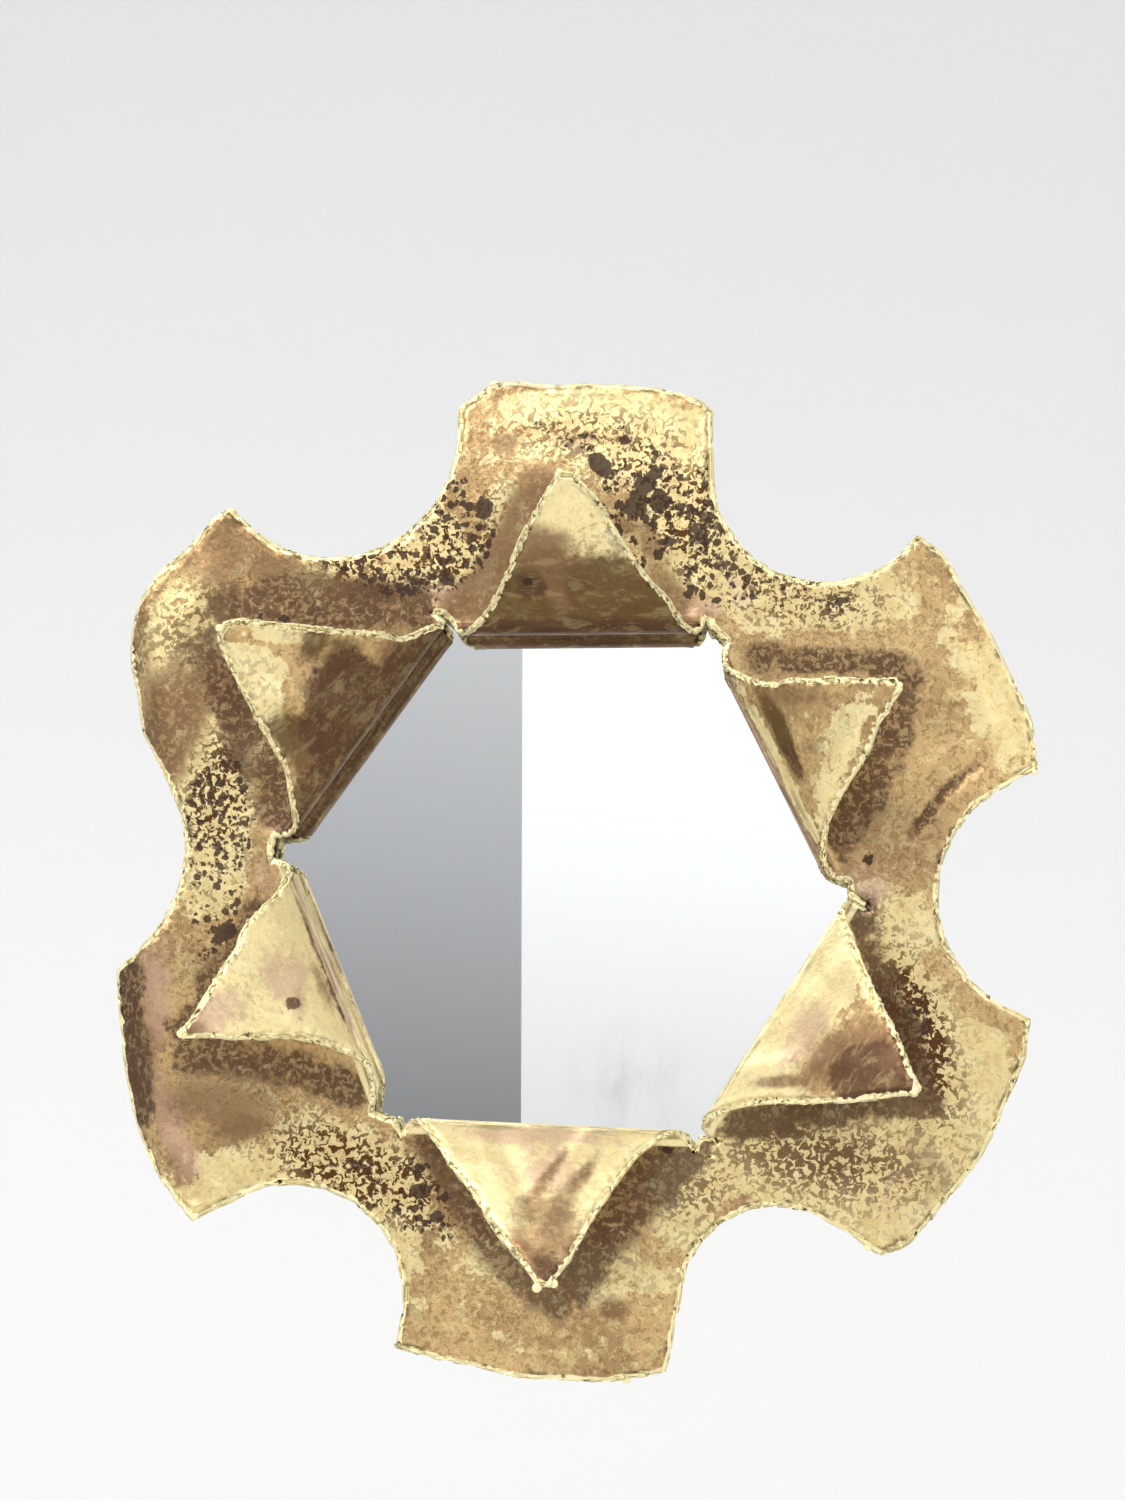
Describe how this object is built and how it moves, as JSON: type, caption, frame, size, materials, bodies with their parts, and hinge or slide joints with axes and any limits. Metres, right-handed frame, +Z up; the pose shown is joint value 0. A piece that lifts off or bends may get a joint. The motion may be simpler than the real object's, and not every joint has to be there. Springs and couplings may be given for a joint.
{
  "type": "torch-cut brass wall mirror",
  "caption": "Lobed, scalloped brass sheet with rolled triangular petals framing a flat mirror, with a hidden backing and a swinging D-ring hanger.",
  "frame": {"origin": "on the wall's plane, behind the middle of the six-sided opening", "axes": "+Z up, +Y into the wall, the front faces -Y, +X to the viewer's right"},
  "size_m": [0.3043, 0.0737, 0.3236],
  "materials": {
    "torch_cut_brass": "torch-cut sheet, mottled with dark oxide and heat tints",
    "band_brass": "dull, unpolished",
    "mirror": "silvered, clear",
    "pad": "grey felt",
    "hardboard": "smooth hardboard",
    "plated_steel": "zinc plated",
    "rivet_aluminium": "bright",
    "rubber": "matt"
  },
  "bodies": {
    "mirror": {"frame_plate": "torch_cut_brass", "rim_band": "band_brass", "glazing_ring": "rubber", "mirror_glass": "mirror", "cushion_pad": "pad", "backing_disc": "hardboard", "retaining_tab_1": "band_brass", "retaining_tab_2": "band_brass", "retaining_tab_3": "band_brass", "retaining_tab_4": "band_brass", "retaining_tab_5": "band_brass", "retaining_tab_6": "band_brass", "hanger_strap": "plated_steel", "hanger_rivets": "rivet_aluminium", "wall_bumper_1": "rubber", "wall_bumper_2": "rubber", "wall_bumper_3": "rubber", "wall_bumper_4": "rubber"},
    "ring": {"hanger_ring": "plated_steel"}
  },
  "joints": [
    {"name": "hanger_ring_swing", "type": "hinge", "parent": "mirror", "child": "ring", "pos_m": [0, -0.00371, 0.07], "axis": [-1, 0, 0], "range_deg": [0, 176]}
  ]
}
